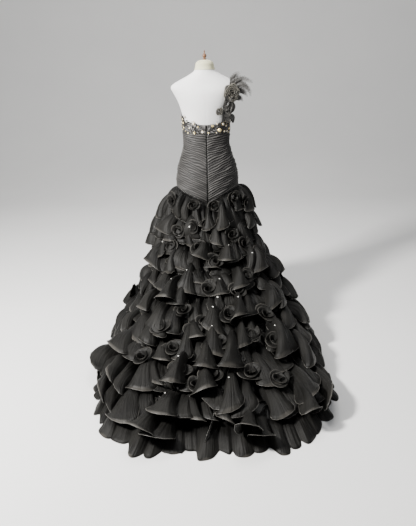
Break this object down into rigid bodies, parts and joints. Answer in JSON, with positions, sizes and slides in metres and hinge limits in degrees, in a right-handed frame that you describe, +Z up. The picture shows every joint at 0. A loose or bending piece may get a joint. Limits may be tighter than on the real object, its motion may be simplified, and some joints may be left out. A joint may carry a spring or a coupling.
{
  "type": "prom dress on a dress form",
  "caption": "Floor-length one-shoulder prom dress with a ruched bodice, jewelled band, ruffled skirt and chapel train, on a limbless dress form.",
  "frame": {"origin": "centre of the underside of the dress form's foot, on the floor", "axes": "+Z up the form's pole; the dress faces -Y and its train runs out along +Y; the wearer's right, with the strap, is -X"},
  "size_m": [1.1974, 1.8116, 1.5796],
  "materials": {
    "white_jersey": "matte knit",
    "cream_cap": "matte",
    "turned_wood": "satin",
    "stand_steel": "satin",
    "ruched_chiffon": "soft sheen",
    "skirt_chiffon": "soft sheen",
    "organza": "crisp sheen",
    "jewelled_lace": "lace with stones",
    "zip_tape": "woven",
    "zip_metal": "gloss"
  },
  "bodies": {
    "dress_on_form": {"form_torso": "white_jersey", "form_neck_cap": "cream_cap", "form_finial": "turned_wood", "stand_pole": "stand_steel", "stand_foot": "stand_steel", "bodice_back_left": "ruched_chiffon", "bodice_back_right": "ruched_chiffon", "bodice_front": "ruched_chiffon", "band_back_left": "jewelled_lace", "band_back_right": "jewelled_lace", "band_front": "jewelled_lace", "zip_tape": "zip_tape", "zip_slider": "zip_metal", "shoulder_strap": "organza", "rosette_large": "organza", "rosette_medium": "organza", "rosette_small": "organza", "frond_spray": "organza", "skirt_front": "skirt_chiffon", "skirt_back_left": "skirt_chiffon", "skirt_back_right": "skirt_chiffon", "ruffle_01": "organza", "ruffle_02": "organza", "ruffle_03": "organza", "ruffle_04": "organza", "ruffle_05": "organza", "ruffle_06": "organza", "ruffle_07": "organza", "ruffle_08": "organza", "ruffle_09": "organza", "ruffle_10": "organza", "ruffle_11": "organza", "ruffle_12": "organza", "ruffle_13": "organza"},
    "zip_pull": {"zip_pull": "zip_metal"}
  },
  "joints": [
    {"name": "zip_pull_hinge", "type": "hinge", "parent": "dress_on_form", "child": "zip_pull", "pos_m": [0, 0.0986, 1.172], "axis": [1, 0, 0], "range_deg": [0, 170]}
  ]
}
